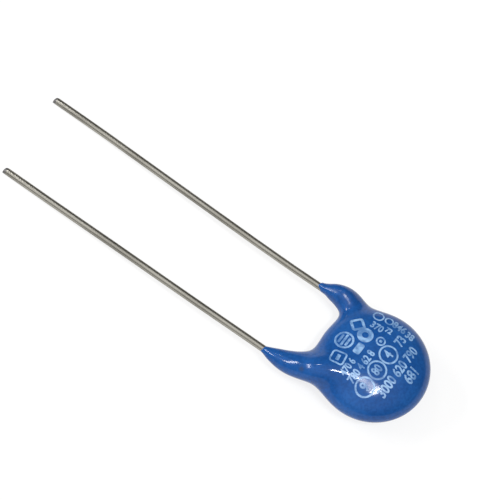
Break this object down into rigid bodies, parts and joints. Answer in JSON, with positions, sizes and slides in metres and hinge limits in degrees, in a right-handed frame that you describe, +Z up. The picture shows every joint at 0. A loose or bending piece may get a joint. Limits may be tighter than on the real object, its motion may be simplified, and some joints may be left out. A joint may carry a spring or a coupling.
{
  "type": "ceramic disc capacitor",
  "caption": "Dip-coated ceramic disc capacitor: a thick round disc whose blue coating runs down onto long straight parallel wire leads, lying on its back.",
  "frame": {"origin": "on the table that the part lies on, under the middle of the part's overall box", "axes": "+X along the leads, from their tips to the disc; +Y across the leads, from the front lead to the back lead; +Z up from the table, out of the disc's front face"},
  "size_m": [0.0403, 0.0099, 0.0048],
  "materials": {
    "epoxy": "glossy dipped epoxy with rounded, run-down edges",
    "ceramic": "fired, unglazed",
    "silver": "fired silver, matte",
    "solder": "cooled solder, dull",
    "wire": "drawn, tinned wire"
  },
  "bodies": {
    "root": {"coating": "epoxy", "ceramic_disc": "ceramic", "electrode_front": "silver", "electrode_back": "silver", "solder_front": "solder", "solder_back": "solder", "lead_front": "wire", "lead_back": "wire"}
  },
  "joints": []
}
